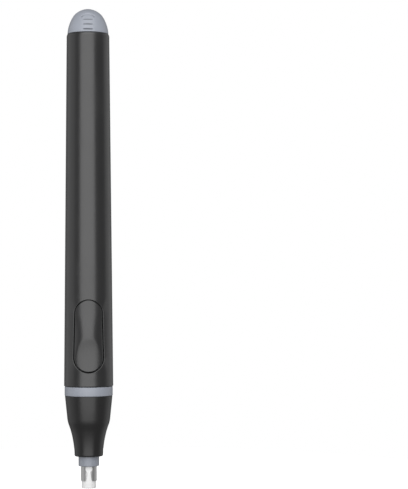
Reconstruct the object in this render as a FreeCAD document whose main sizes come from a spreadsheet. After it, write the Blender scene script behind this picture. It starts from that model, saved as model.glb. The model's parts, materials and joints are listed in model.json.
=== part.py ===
import FreeCAD, Part
import Sketcher
import math
import os
import re

from FreeCAD import Vector

# A battery eraser for draughtsmen. The barrel's axis is Z, the refill's tip is at the origin
# and the button faces -Y. All sizes are in millimetres.

doc = FreeCAD.newDocument("electric_eraser")
sheet = doc.addObject("Spreadsheet::Sheet", "Dims")

SIZES = {
    # refill and its steel clip
    "refill_radius": 2.45,
    "refill_length": 22.5,
    "refill_edge": 0.25,
    "clip_gap": 0.02,
    "clip_sheet": 0.26,
    "clip_bottom": 2.6,
    "clip_top": 23.9,
    "jaw_height": 3.0,
    "jaw_window": 1.0,
    "pinch_window": 0.62,
    "leg_window": 1.24,
    "window_slope": 0.9,
    "neck_window": 1.95,
    "neck_height": 3.6,
    # chuck that turns the clip, and its brass insert
    "chuck_radius": 3.6,
    "chuck_bore": 2.78,
    "chuck_bottom": 7.7,
    "chuck_floor": 24.6,
    "chuck_top": 31.4,
    "chuck_edge": 0.3,
    "insert_radius": 1.6,
    "insert_bottom": 26.2,
    # nose cone, its bush and the trim ring behind it
    "nose_bottom": 11.1,
    "nose_tip_radius": 5.0,
    "nose_edge": 0.55,
    "nose_lip_bore": 3.85,
    "nose_flare_radius": 31.0,
    "shoulder_bottom": 22.3,
    "shoulder_bottom_radius": 7.07,
    "shoulder_top": 24.0,
    "shoulder_top_radius": 7.46,
    "shoulder_round": 6.5,
    "nose_top": 32.15,
    "nose_top_radius": 8.29,
    "nose_wall": 1.15,
    "bush_radius": 4.33,
    "bush_bottom": 12.7,
    "bush_height": 4.2,
    "bush_clearance": 0.04,
    "spigot_radius": 7.05,
    "spigot_bore": 6.2,
    "spigot_top": 40.4,
    "ring_radius": 8.38,
    "ring_bottom": 32.2,
    "ring_height": 3.2,
    "ring_edge": 0.25,
    # barrel
    "barrel_bottom": 35.45,
    "barrel_bottom_radius": 8.57,
    "barrel_top": 158.7,
    "barrel_top_radius": 7.48,
    "barrel_edge": 0.35,
    "barrel_rim_round": 1.2,
    "barrel_mouth": 7.16,
    "slot_edge": 0.2,
    "lower_bore": 7.15,
    "upper_bore": 6.35,
    "bore_step": 66.05,
    # button and its slot
    "slot_bottom": 40.3,
    "slot_low_radius": 5.25,
    "slot_top": 65.6,
    "slot_high_radius": 4.88,
    "button_gap": 0.22,
    "button_lift": 0.12,
    "button_rise": 0.12,
    "button_back": 6.3,
    "button_flush_radius": 8.3,
    "pad_radius": 9.15,
    "pad_top": 53.2,
    "pad_slope": 4.3,
    "dish_middle": 46.6,
    "dish_depth": 1.0,
    "dish_tall": 8.1,
    "dish_wide": 14.0,
    "dish_round": 3.0,
    "pivot_height": 61.4,
    "pivot_forward": 4.0,
    "pin_radius": 0.75,
    "pin_length": 9.8,
    "pin_clearance": 0.05,
    "lug_inside": 2.6,
    "lug_thickness": 1.3,
    "lug_height": 2.8,
    "post_width": 2.0,
    "post_height": 1.6,
    "rib_back": 0.3,
    # switch
    "board_front": 1.5,
    "board_thickness": 1.0,
    "board_bottom": 51.2,
    "board_height": 10.8,
    "board_width": 8.0,
    "switch_height": 56.5,
    "switch_width": 6.0,
    "switch_depth": 3.5,
    "plunger_radius": 1.7,
    "plunger_length": 1.2,
    "plunger_proud": 0.62,
    "screw_radius": 0.6,
    "screw_head": 0.95,
    "screw_length": 2.4,
    "screw_head_height": 0.6,
    "screw_recess": 0.4,
    # chassis
    "chassis_bottom": 40.5,
    "chassis_bore": 6.1,
    "bulkhead_bottom": 64.8,
    "bulkhead_top": 66.0,
    "trough_radius": 6.25,
    "trough_bore": 5.45,
    "trough_top": 150.5,
    "trough_band": 3.0,
    "trough_window": 4.3,
    "front_gap": 5.4,
    "screen_front": 5.35,
    "screen_sheet": 0.3,
    "screen_drop": 0.5,
    "deck_back": 2.4,
    "deck_front": 1.3,
    "cheek_inside": 4.05,
    "cheek_height": 3.2,
    # motor
    "motor_bottom": 34.5,
    "motor_length": 15.0,
    "motor_radius": 6.0,
    "motor_flat": 5.0,
    "motor_sheet": 0.5,
    "motor_boss": 2.0,
    "motor_boss_height": 1.0,
    "shaft_radius": 0.5,
    "shaft_bottom": 27.0,
    "shaft_top": 50.4,
    "shaft_clearance": 0.03,
    "bearing_radius": 1.5,
    "rotor_radius": 3.6,
    "rotor_bottom": 37.2,
    "rotor_height": 7.6,
    "magnet_inside": 4.0,
    "magnet_outside": 5.4,
    "magnet_height": 9.0,
    "coil_radius": 0.85,
    "commutator_radius": 1.2,
    "commutator_bottom": 46.0,
    "commutator_height": 1.9,
    "terminal_offset": 3.0,
    "terminal_top": 52.2,
    "terminal_width": 1.6,
    "terminal_sheet": 0.3,
    "terminal_root": 1.2,
    "brush_sheet": 0.15,
    "brush_height": 0.9,
    "rotor_mouth": 0.6,
    "magnet_split": 6.0,
    "end_cap_lip": 0.3,
    "end_cap_lid": 0.7,
    "lead_bend": 1.0,
    "lead_rise": 4.0,
    "lead_radius": 0.45,
    # cells and contacts
    "cell_radius": 5.25,
    "sleeve_thickness": 0.1,
    "nub_radius": 1.9,
    "nub_height": 1.0,
    "can_height": 43.5,
    "front_nub": 66.95,
    "rear_nub": 111.5,
    "contact_sheet": 0.3,
    "contact_radius": 3.5,
    "dimple_radius": 1.2,
    "tab_width": 1.8,
    "tab_drop": 4.0,
    "nub_round": 0.3,
    "can_round": 0.5,
    "strip_width": 2.0,
    "strip_inside": 5.95,
    "strip_sheet": 0.25,
    "strip_bottom": 60.0,
    # tail cap
    "cap_seat": 158.75,
    "cap_spigot_bottom": 151.0,
    "cap_spigot_radius": 6.25,
    "cap_bore": 5.6,
    "dome_side_radius": 10.4,
    "dome_shoulder": 165.27,
    "dome_shoulder_radius": 4.91,
    "dome_crown_radius": 6.34,
    "dome_top": 167.6,
    "dome_hollow_side": 160.6,
    "dome_hollow_top": 164.3,
    "dome_hollow_radius": 3.4,
    "mark_low": 159.65,
    "mark_pitch": 1.8,
    "mark_width": 0.5,
    "mark_depth": 0.35,
    "mark_angle": 34.0,
    "arch_outside": 2.45,
    "arch_rise": 1.15,
    "arch_foot": 164.25,
    "arch_floor": 4.5,
    "arch_radius": 2.9,
    "dome_lean": 0.01,
    "cup_gap": 0.02,
    "cup_sheet": 0.16,
    "cup_top": 160.5,
    "cup_bottom": 150.9,
    "spring_wire": 0.25,
    "spring_low_radius": 4.2,
    "spring_bottom": 156.35,
    "spring_height": 3.6,
    "spring_turns": 4.0,
    "spring_lean": -28.0,
}

for row, (alias, size) in enumerate(SIZES.items(), start=1):
    sheet.set(f"A{row}", alias)
    sheet.set(f"B{row}", str(size))
    sheet.setAlias(f"B{row}", alias)
doc.recompute()


def bound(formula):
    """The formula with each size's name pointing at its cell."""
    def pointed(word):
        return f"Dims.{word[0]}" if word[0] in SIZES else word[0]

    return re.sub(r"[a-z_]+", pointed, formula)


def number(formula):
    """The formula's value now."""
    worked_out = sheet.evalExpression(bound(formula))
    return float(getattr(worked_out, "Value", worked_out))


def bind(thing, **formulas):
    """Binds properties to formulas; a double underscore in a name stands for a dot."""
    for name, formula in formulas.items():
        thing.setExpression(name.replace("__", "."), bound(formula))


# ---------------------------------------------------------------- sketches and bodies

def hold(sketch, kind, edge, end, formula, position):
    """Ties one coordinate of a sketch point to a formula, measured from the sketch's origin."""
    if formula == "0":
        axis = -2 if kind == "DistanceX" else -1
        sketch.addConstraint(Sketcher.Constraint("PointOnObject", edge, end, axis))
        return
    if position < 0:
        tie = Sketcher.Constraint(kind, edge, end, -1, 1, -position)
        formula = f"-({formula})"
    else:
        tie = Sketcher.Constraint(kind, -1, 1, edge, end, position)
    sketch.setExpression(f"Constraints[{sketch.addConstraint(tie)}]", bound(formula))


def outline(sketch, corners):
    """Draws a closed outline. A corner is two formulas; a third is the radius of the arc that
    arrives there, positive when the arc turns left and negative when it turns right."""
    points = [Vector(number(corner[0]), number(corner[1]), 0) for corner in corners]
    edges = []
    for place, corner in enumerate(corners):
        start, end = points[place - 1], points[place]
        if len(corner) == 2:
            edges.append((sketch.addGeometry(Part.LineSegment(start, end)), 1, 2))
            continue
        radius = number(corner[2])
        chord = end - start
        left = Vector(-chord.y, chord.x, 0).normalize()
        offset = math.sqrt(radius ** 2 - (chord.Length / 2) ** 2)
        centre = start + chord * 0.5 + left * math.copysign(offset, radius)
        first, last = (start, end) if radius > 0 else (end, start)
        angles = [math.atan2(point.y - centre.y, point.x - centre.x) for point in (first, last)]
        if angles[1] < angles[0]:
            angles[1] += 2 * math.pi
        circle = Part.Circle(centre, Vector(0, 0, 1), abs(radius))
        edge = sketch.addGeometry(Part.ArcOfCircle(circle, *angles))
        edges.append((edge, 1, 2) if radius > 0 else (edge, 2, 1))
    for place, corner in enumerate(corners):
        edge, _, end = edges[place]
        following, start, _ = edges[(place + 1) % len(edges)]
        sketch.addConstraint(Sketcher.Constraint("Coincident", edge, end, following, start))
        hold(sketch, "DistanceX", edge, end, corner[0], points[place].x)
        hold(sketch, "DistanceY", edge, end, corner[1], points[place].y)
        if len(corner) == 3:
            tie = sketch.addConstraint(Sketcher.Constraint("Radius", edge, abs(number(corner[2]))))
            sketch.setExpression(f"Constraints[{tie}]", bound(f"abs({corner[2]})"))


def disc(sketch, radius, x="0", y="0"):
    """Draws one circle."""
    circle = Part.Circle(Vector(number(x), number(y), 0), Vector(0, 0, 1), number(radius))
    edge = sketch.addGeometry(circle)
    hold(sketch, "DistanceX", edge, 3, x, number(x))
    hold(sketch, "DistanceY", edge, 3, y, number(y))
    tie = sketch.addConstraint(Sketcher.Constraint("Radius", edge, number(radius)))
    sketch.setExpression(f"Constraints[{tie}]", bound(radius))


def new_body(label):
    body = doc.addObject("PartDesign::Body", label)
    body.Label = label
    return body


def new_sketch(body, name, plane, offset="0"):
    """A sketch on one of the body's own origin planes, moved along that plane's normal."""
    sketch = body.newObject("Sketcher::SketchObject", f"{body.Label}_{name}")
    origin_plane = next(part for part in body.Origin.OriginFeatures if part.Role == plane)
    sketch.AttachmentSupport = (origin_plane, [""])
    sketch.MapMode = "FlatFace"
    if offset != "0":
        bind(sketch, AttachmentOffset__Base__z=offset)
    return sketch


def turned(label, corners):
    """A body of revolution about Z; corners are (radius, height)."""
    body = new_body(label)
    section = new_sketch(body, "section", "XZ_Plane")
    outline(section, corners)
    spin = body.newObject("PartDesign::Revolution", f"{label}_turned")
    spin.Profile = section
    spin.ReferenceAxis = (section, ["V_Axis"])
    spin.Angle = 360
    return body


def tube(label, inside, outside, bottom, top):
    """A plain round tube, or a rod where the inside is 0."""
    return turned(label, [(inside, bottom), (outside, bottom), (outside, top), (inside, top)])


def pad(body, name, sketch, length, midplane=False, backwards=False):
    feature = body.newObject("PartDesign::Pad", f"{body.Label}_{name}")
    feature.Profile = sketch
    bind(feature, Length=length)
    feature.Midplane = midplane
    feature.Reversed = backwards
    return feature


def pocket(body, name, sketch, length, midplane=False, backwards=False):
    """Cuts a sketch into the body, and stops if nothing was removed."""
    doc.recompute()
    before = body.Shape.Volume
    feature = body.newObject("PartDesign::Pocket", f"{body.Label}_{name}")
    feature.Profile = sketch
    bind(feature, Length=length)
    feature.Midplane = midplane
    feature.Reversed = backwards
    doc.recompute()
    if body.Shape.Volume > before - 1e-3:
        raise RuntimeError(f"{feature.Name} removes nothing")
    return feature


# ---------------------------------------------------------------- primitives and booleans

def box(label, x, y, z, length, width, height):
    """A box by its low corner and its sides."""
    block = doc.addObject("Part::Box", label)
    block.Label = label
    bind(block, Length=length, Width=width, Height=height)
    bind(block, Placement__Base__x=x, Placement__Base__y=y, Placement__Base__z=z)
    return block


def rod(label, radius, x, y, z, height, along="z"):
    """A cylinder from the centre of its first face, along z, +y or +x."""
    cylinder = doc.addObject("Part::Cylinder", label)
    cylinder.Label = label
    turns = {"z": (Vector(0, 0, 1), 0), "y": (Vector(1, 0, 0), -90), "x": (Vector(0, 1, 0), 90)}
    cylinder.Placement = FreeCAD.Placement(Vector(0, 0, 0), FreeCAD.Rotation(*turns[along]))
    bind(cylinder, Radius=radius, Height=height)
    bind(cylinder, Placement__Base__x=x, Placement__Base__y=y, Placement__Base__z=z)
    return cylinder


def joined(label, *shapes):
    whole = doc.addObject("Part::MultiFuse", label)
    whole.Label = label
    whole.Shapes = list(shapes)
    return whole


def without(label, base, *tools):
    """The base less the tools."""
    rest = doc.addObject("Part::Cut", label)
    rest.Label = label
    rest.Base = base
    rest.Tool = tools[0] if len(tools) == 1 else joined(f"{label}_cutters", *tools)
    return rest


def common(label, one, other):
    shared = doc.addObject("Part::Common", label)
    shared.Label = label
    shared.Base = one
    shared.Tool = other
    return shared


def group(label, *shapes):
    """Several separate solids of one kind, kept in one piece of the model."""
    kept = doc.addObject("Part::Compound", label)
    kept.Label = label
    kept.Links = list(shapes)
    return kept


# ---------------------------------------------------------------- the erasing end

def eraser_refill():
    top = "refill_length"
    return turned("eraser_refill", [
        ("0", "0"),
        ("refill_radius - refill_edge", "0"),
        ("refill_radius", "refill_edge", "refill_edge"),
        ("refill_radius", f"{top} - refill_edge"),
        ("refill_radius - refill_edge", top, "refill_edge"),
        ("0", top),
    ])


def refill_holder():
    """A sheet steel tube split into two sprung legs, with wider jaws at the free end."""
    inside = "refill_radius + clip_gap"
    body = turned("refill_holder", [
        (inside, "clip_bottom"),
        (f"{inside} + clip_sheet", "clip_bottom"),
        (f"{inside} + clip_sheet", "clip_top"),
        ("0", "clip_top"),
        ("0", "clip_top - clip_sheet"),
        (inside, "clip_top - clip_sheet"),
    ])
    window = new_sketch(body, "window", "XZ_Plane")
    jaw = "clip_bottom + jaw_height"
    neck = "clip_top - neck_height"
    outline(window, [
        ("jaw_window", "clip_bottom - 1"),
        ("jaw_window", "clip_bottom"),
        ("pinch_window", jaw),
        ("leg_window", f"{jaw} + window_slope"),
        ("leg_window", neck),
        ("neck_window", "clip_top - clip_sheet"),
        ("-neck_window", "clip_top - clip_sheet"),
        ("-leg_window", neck),
        ("-leg_window", f"{jaw} + window_slope"),
        ("-pinch_window", jaw),
        ("-jaw_window", "clip_bottom"),
        ("-jaw_window", "clip_bottom - 1"),
    ])
    pocket(body, "windows", window, "4 * refill_radius", midplane=True)
    return body


def chuck():
    """The turning collar: open below for the clip, bored above for the brass insert."""
    return turned("chuck", [
        ("chuck_bore", "chuck_bottom"),
        ("chuck_radius - chuck_edge", "chuck_bottom"),
        ("chuck_radius", "chuck_bottom + chuck_edge", "chuck_edge"),
        ("chuck_radius", "chuck_top"),
        ("insert_radius", "chuck_top"),
        ("insert_radius", "insert_bottom"),
        ("0", "insert_bottom"),
        ("0", "chuck_floor"),
        ("chuck_bore", "chuck_floor"),
    ])


def shaft_insert():
    return tube("shaft_insert", "shaft_radius", "insert_radius", "insert_bottom", "chuck_top")


# ---------------------------------------------------------------- the nose

def nose_bush():
    return tube("nose_bush", "chuck_radius + bush_clearance", "bush_radius", "bush_bottom",
                "bush_bottom + bush_height")


def nose_cone():
    seat = "bush_radius + 0.01"
    bush_top = "bush_bottom + bush_height"
    return turned("nose_cone", [
        ("nose_lip_bore", "nose_bottom"),
        ("nose_tip_radius - nose_edge", "nose_bottom"),
        ("nose_tip_radius", "nose_bottom + nose_edge", "nose_edge"),
        ("shoulder_bottom_radius", "shoulder_bottom", "-nose_flare_radius"),
        ("shoulder_top_radius", "shoulder_top", "shoulder_round"),
        ("nose_top_radius", "nose_top"),
        ("spigot_radius", "nose_top"),
        ("spigot_radius", "spigot_top"),
        ("spigot_bore", "spigot_top"),
        ("spigot_bore", "shoulder_top + nose_wall"),
        ("shoulder_bottom_radius - nose_wall", "shoulder_bottom"),
        (seat, f"{bush_top} + 0.6"),
        (seat, "bush_bottom - 0.1"),
        ("nose_lip_bore", "bush_bottom - 0.1"),
    ])


def trim_ring():
    top = "ring_bottom + ring_height"
    return turned("trim_ring", [
        ("spigot_radius + 0.03", "ring_bottom"),
        ("ring_radius - ring_edge", "ring_bottom"),
        ("ring_radius", "ring_bottom + ring_edge", "ring_edge"),
        ("ring_radius", f"{top} - ring_edge"),
        ("ring_radius - ring_edge", top, "ring_edge"),
        ("spigot_radius + 0.03", top),
    ])


# ---------------------------------------------------------------- barrel and button

def stadium(sketch, gap, lift="0", rise="0"):
    """The button's long outline, wider at the thumb end. The gap draws it in from the slot all round,
    the lift raises its low end and the rise its high end."""
    low, high = f"(slot_low_radius - {gap})", f"(slot_high_radius - {gap})"
    low_middle = f"(slot_bottom + slot_low_radius + {lift})"
    high_middle = f"(slot_top - slot_high_radius + {rise})"
    lean = f"(({low} - {high}) / ({high_middle} - {low_middle}))"
    flank = f"sqrt(1 - {lean} ^ 2)"
    high_joint = f"{high_middle} + {high} * {lean}"
    low_joint = f"{low_middle} + {low} * {lean}"
    outline(sketch, [
        (f"-{high} * {flank}", high_joint),
        ("0", f"{high_middle} + {high}", f"-{high}"),
        (f"{high} * {flank}", high_joint, f"-{high}"),
        (f"{low} * {flank}", low_joint),
        ("0", f"{low_middle} - {low}", f"-{low}"),
        (f"-{low} * {flank}", low_joint, f"-{low}"),
    ])


def barrel():
    body = turned("barrel", [
        ("lower_bore", "barrel_bottom"),
        ("barrel_bottom_radius - barrel_edge", "barrel_bottom"),
        ("barrel_bottom_radius", "barrel_bottom + barrel_edge", "barrel_edge"),
        ("barrel_top_radius", "barrel_top - barrel_rim_round"),
        ("barrel_mouth", "barrel_top", "1.4 * barrel_rim_round"),
        ("upper_bore", "barrel_top"),
        ("upper_bore", "bore_step"),
        ("lower_bore", "bore_step"),
    ])
    slot = new_sketch(body, "slot", "XZ_Plane")
    stadium(slot, "0")
    cut = pocket(body, "slot_cut", slot, "barrel_bottom_radius + 1", backwards=True)
    rim = body.newObject("PartDesign::Fillet", "barrel_slot_edge")
    rim.Base = (cut, slot_rim(cut.Shape))
    bind(rim, Radius="slot_edge")
    return body


def slot_rim(shape):
    """The names of the edges where the slot opens on the barrel's outside."""
    inner = number("lower_bore") + 0.5
    bottom, top = number("slot_bottom") - 0.5, number("slot_top") + 0.5

    def opens(point):
        return math.hypot(point.x, point.y) > inner and bottom < point.z < top

    return [
        f"Edge{place}"
        for place, edge in enumerate(shape.Edges, start=1)
        if all(opens(point) for point in edge.discretize(5))
    ]


def button():
    """A rocking cover: flush with the barrel above, raised and dished for the thumb below."""
    blank = new_body("button_blank")
    face = new_sketch(blank, "face", "XZ_Plane", "button_back")
    stadium(face, "button_gap", "button_lift", "button_rise")
    pad(blank, "depth", face, "pad_radius")
    skin = turned("button_skin", [
        ("0", "slot_bottom"),
        ("button_flush_radius", "slot_bottom"),
        ("pad_radius", "slot_bottom + 1.2", "1.6"),
        ("pad_radius", "pad_top"),
        ("button_flush_radius", "pad_top + pad_slope"),
        ("button_flush_radius - 0.09", "slot_top"),
        ("0", "slot_top"),
    ])
    dish = doc.addObject("Part::Ellipsoid", "button_dish")
    bind(dish, Radius1="dish_tall", Radius2="dish_wide", Radius3="dish_round")
    bind(dish, Placement__Base__y="-(pad_radius - dish_depth + dish_round)", Placement__Base__z="dish_middle")
    cover = without("button_cover", common("button_shell", blank, skin), dish)
    root = "-(button_back + rib_back)"
    lug_depth = "button_back + rib_back - pivot_forward + lug_height / 2"
    lugs = [
        box(f"button_lug_{side}", x, root, "pivot_height - lug_height / 2", "lug_thickness", lug_depth,
            "lug_height")
        for side, x in (("left", "-(lug_inside + lug_thickness)"), ("right", "lug_inside"))
    ]
    post = box("button_post", "-post_width / 2", root, "switch_height - post_height / 2", "post_width",
               "button_back + rib_back - board_front - switch_depth - plunger_proud - 0.05", "post_height")
    pin_hole = rod("button_pin_hole", "pin_radius + pin_clearance", "-pin_length", "-pivot_forward",
                   "pivot_height", "2 * pin_length", along="x")
    return without("button", joined("button_moulding", cover, *lugs, post), pin_hole)


def pivot_pin():
    return rod("pivot_pin", "pin_radius", "-pin_length / 2", "-pivot_forward", "pivot_height", "pin_length",
               along="x")


# ---------------------------------------------------------------- switch

SCREW_HEIGHTS = {"low": "board_bottom + 1", "high": "board_bottom + board_height - 1.1"}


def switch_board():
    board = box("board_blank", "-board_width / 2", "-board_front", "board_bottom", "board_width",
                "board_thickness", "board_height")
    holes = [
        rod(f"board_hole_{name}", "screw_radius + 0.1", "0", "-board_front - 1", height,
            "board_thickness + 2", along="y")
        for name, height in SCREW_HEIGHTS.items()
    ]
    return without("switch_board", board, *holes)


def board_screws():
    screws = []
    for name, height in SCREW_HEIGHTS.items():
        head = rod(f"screw_head_{name}", "screw_head", "0", "-board_front - screw_head_height", height,
                   "screw_head_height", along="y")
        shank = rod(f"screw_shank_{name}", "screw_radius", "0", "-board_front", height, "screw_length",
                    along="y")
        recess = rod(f"screw_recess_{name}", "screw_recess", "0", "-board_front - screw_head_height - 0.1",
                     height, "screw_recess", along="y")
        screws.append(without(f"board_screw_{name}", joined(f"screw_blank_{name}", head, shank), recess))
    return group("board_screws", *screws)


def switch_body():
    case = box("switch_case", "-switch_width / 2", "-board_front - switch_depth",
               "switch_height - switch_width / 2", "switch_width", "switch_depth", "switch_width")
    well = rod("switch_well", "plunger_radius + 0.05", "0", "-board_front - switch_depth - 0.1",
               "switch_height", "1.0", along="y")
    return without("switch_body", case, well)


def switch_plunger():
    return rod("switch_plunger", "plunger_radius", "0", "-board_front - switch_depth - plunger_proud",
               "switch_height", "plunger_length", along="y")


# ---------------------------------------------------------------- chassis

def chassis():
    """One moulding: a cradle round the motor, closed in front by a thin screen behind the button, a deck
    for the board, a bulkhead and a cell trough."""
    cradle = tube("chassis_cradle", "chassis_bore", "spigot_radius", "chassis_bottom", "bulkhead_top")
    bulkhead = rod("chassis_bulkhead", "spigot_radius", "0", "0", "bulkhead_bottom",
                   "bulkhead_top - bulkhead_bottom")
    front = box("chassis_front_gap", "-front_gap", "-spigot_radius - 1", "board_bottom",
                "2 * front_gap", "spigot_radius - board_front", "bulkhead_bottom - board_bottom")
    thumb_gap = box("chassis_thumb_gap", "-front_gap", "-spigot_radius - 1", "chassis_bottom - 1",
                    "2 * front_gap", "spigot_radius + 1 - screen_front", "board_bottom - chassis_bottom + 1")
    open_cradle = without("chassis_open_cradle", cradle, front, thumb_gap)
    screen_bottom = "chassis_bottom - screen_drop"
    screen_height = "board_bottom - chassis_bottom + screen_drop"
    flat = box("chassis_screen_flat", "-chassis_bore", "-screen_front", screen_bottom, "2 * chassis_bore",
               "screen_sheet", screen_height)
    trim = rod("chassis_screen_trim", "chassis_bore + 0.05", "0", "0", screen_bottom, screen_height)
    screen = common("chassis_screen", flat, trim)
    envelope = rod("chassis_envelope", "spigot_radius", "0", "0", "chassis_bottom",
                   "bulkhead_top - chassis_bottom")
    deck = box("chassis_deck", "-spigot_radius", "deck_front", "board_bottom", "2 * spigot_radius",
               "deck_back - deck_front", "bulkhead_top - board_bottom")
    cheek_front = "(pivot_forward + lug_height / 2)"
    cheeks = [
        box(f"chassis_cheek_{side}", x, f"-{cheek_front}", "pivot_height - cheek_height / 2",
            "spigot_radius - cheek_inside", f"{cheek_front} + deck_front", "cheek_height")
        for side, x in (("left", "-spigot_radius"), ("right", "cheek_inside"))
    ]
    posts = [
        rod(f"chassis_post_{name}", "1.0", "0", "-board_front + board_thickness", height,
            "deck_front + board_front - board_thickness", along="y")
        for name, height in SCREW_HEIGHTS.items()
    ]
    inner = common("chassis_inner", joined("chassis_supports", deck, *cheeks, *posts), envelope)
    trough = tube("chassis_trough", "trough_bore", "trough_radius", "bulkhead_top", "trough_top")
    window = box("chassis_window", "-trough_window", "-trough_radius - 1", "bulkhead_top + trough_band / 2",
                 "2 * trough_window", "trough_radius + 1", "trough_top - bulkhead_top - 1.5 * trough_band")
    groove = box("chassis_strip_groove", "-strip_width / 2 - 0.05", "strip_inside - 0.05",
                 "strip_bottom - 0.1", "strip_width + 0.1", "strip_sheet + 0.6",
                 "trough_top - strip_bottom + 1")
    button_notch = box("chassis_button_notch", "-front_gap", "-spigot_radius - 1", "bulkhead_bottom - 1",
                       "2 * front_gap", "spigot_radius + 1 - button_back + 0.4",
                       "bulkhead_top - bulkhead_bottom + 1")
    tab_slot = box("chassis_tab_slot", "-tab_width / 2 - 0.05", "deck_back + 0.05", "bulkhead_bottom - 1",
                   "tab_width + 0.1", "contact_sheet + 0.1", "3")
    pin_hole = rod("chassis_pin_hole", "pin_radius", "-pin_length / 2", "-pivot_forward", "pivot_height",
                   "pin_length", along="x")
    screw_holes = [
        rod(f"chassis_screw_hole_{name}", "screw_radius", "0", "-board_front", height, "screw_length",
            along="y")
        for name, height in SCREW_HEIGHTS.items()
    ]
    moulding = joined("chassis_moulding", open_cradle, screen, bulkhead, inner, trough)
    return without("chassis", moulding, window, groove, button_notch, tab_slot, pin_hole, *screw_holes)


# ---------------------------------------------------------------- motor

def flat_sided(label, radius, flat, bottom, height):
    """A round bar with two flats across Y."""
    bar = rod(f"{label}_round", radius, "0", "0", bottom, height)
    slab = box(f"{label}_slab", f"-({radius})", f"-({flat})", bottom, f"2 * ({radius})", f"2 * ({flat})",
               height)
    return common(label, bar, slab)


def motor_can():
    outer = flat_sided("motor_outer", "motor_radius", "motor_flat", "motor_bottom", "motor_length")
    cavity = flat_sided("motor_cavity", "motor_radius - motor_sheet", "motor_flat - motor_sheet",
                        "motor_bottom + motor_sheet", "motor_length")
    boss = rod("motor_boss_blank", "motor_boss", "0", "0", "motor_bottom - motor_boss_height",
               "motor_boss_height")
    seat = rod("motor_bearing_seat", "bearing_radius", "0", "0", "motor_bottom - motor_boss_height",
               "motor_boss_height + motor_sheet")
    return without("motor_can", joined("motor_blank", outer, boss), cavity, seat)


def motor_front_bearing():
    return tube("motor_front_bearing", "shaft_radius + shaft_clearance", "bearing_radius",
                "motor_bottom - motor_boss_height", "motor_bottom + motor_sheet + 0.6")


def motor_magnets():
    """Two curved magnets, one at each side of the rotor."""
    sleeve = tube("magnet_sleeve", "magnet_inside", "magnet_outside", "rotor_bottom - 0.6",
                  "rotor_bottom - 0.6 + magnet_height")
    middle = box("magnet_parting", "-magnet_split / 2", "-motor_radius", "motor_bottom", "magnet_split",
                 "2 * motor_radius", "motor_length")
    flats = box("magnet_trim", "-motor_radius", "-(motor_flat - motor_sheet - 0.05)", "motor_bottom",
                "2 * motor_radius", "2 * (motor_flat - motor_sheet - 0.05)", "motor_length")
    return common("motor_magnets", without("magnet_pair", sleeve, middle), flats)


def motor_shaft():
    return rod("motor_shaft", "shaft_radius", "0", "0", "shaft_bottom", "shaft_top - shaft_bottom")


COILS = 3


def coil_holes(label, spare, bottom, height):
    """The rods of the coils, with some spare radius, evenly round the shaft."""
    reach = "(rotor_radius - coil_radius - 0.35)"
    rods = []
    for coil in range(COILS):
        turn = f"{360 / COILS * coil} deg"
        x, y = f"{reach} * cos({turn})", f"{reach} * sin({turn})"
        rods.append(rod(f"{label}_{coil + 1}", f"coil_radius + {spare}", x, y, bottom, height))
    return rods


def rotor_core():
    """A laminated armature with one slot for each coil."""
    core = tube("rotor_blank", "shaft_radius", "rotor_radius", "rotor_bottom", "rotor_bottom + rotor_height")
    holes = coil_holes("rotor_slot", "0.02", "rotor_bottom - 1", "rotor_height + 2")
    mouths = []
    for coil in range(COILS):
        mouth = box(f"rotor_mouth_{coil + 1}", "0", "0", "rotor_bottom - 1", "rotor_radius + 1",
                    "rotor_mouth", "rotor_height + 2")
        mouth.Placement.Rotation = FreeCAD.Rotation(Vector(0, 0, 1), 360 / COILS * coil)
        mouths.append(mouth)
    inner = rod("rotor_hub_guard", "rotor_radius - 1.5", "0", "0", "rotor_bottom - 2", "rotor_height + 4")
    outer_mouths = without("rotor_mouths", joined("rotor_mouth_set", *mouths), inner)
    return without("rotor_core", core, *holes, outer_mouths)


def rotor_windings():
    return group("rotor_windings", *coil_holes("rotor_coil", "0", "rotor_bottom - 0.5", "rotor_height + 1"))


def commutator():
    return tube("commutator", "shaft_radius", "commutator_radius", "commutator_bottom",
                "commutator_bottom + commutator_height")


def motor_end_cap():
    top = "motor_bottom + motor_length"
    plug = flat_sided("end_cap_plug", "motor_radius - motor_sheet - 0.02",
                      "motor_flat - motor_sheet - 0.02", f"{top} - terminal_root", "terminal_root")
    lid = flat_sided("end_cap_lid_blank", "motor_radius - end_cap_lip", "motor_flat - end_cap_lip", top,
                     "end_cap_lid")
    seat = rod("end_cap_seat", "bearing_radius", "0", "0", f"{top} - terminal_root - 0.1", "3")
    slots = [
        box(f"end_cap_slot_{side}", f"{x} - terminal_width / 2", "-terminal_sheet / 2", f"{top} - 2",
            "terminal_width", "terminal_sheet", "4")
        for side, x in (("left", "-terminal_offset"), ("right", "terminal_offset"))
    ]
    return without("motor_end_cap", joined("end_cap_blank", plug, lid), seat, *slots)


def motor_rear_bearing():
    top = "motor_bottom + motor_length"
    return tube("motor_rear_bearing", "shaft_radius + shaft_clearance", "bearing_radius",
                f"{top} - terminal_root", f"{top} + 0.6")


def motor_brushes():
    """Two leaves that bear on the commutator from each side."""
    gap, foot, length = "commutator_radius + 0.04", "commutator_bottom + 0.5", "terminal_offset + 1"
    places = {"left": ("-terminal_offset - 0.5", gap), "right": ("-0.5", f"-({gap} + brush_sheet)")}
    leaves = [
        box(f"brush_{side}", x, y, foot, length, "brush_sheet", "brush_height")
        for side, (x, y) in places.items()
    ]
    return group("motor_brushes", *leaves)


def motor_terminals():
    bottom = "motor_bottom + motor_length - terminal_root"
    tabs = [
        box(f"terminal_{side}", f"{x} - terminal_width / 2", "-terminal_sheet / 2", bottom,
            "terminal_width", "terminal_sheet", f"terminal_top - ({bottom})")
        for side, x in (("left", "-terminal_offset"), ("right", "terminal_offset"))
    ]
    return group("motor_terminals", *tabs)


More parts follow.
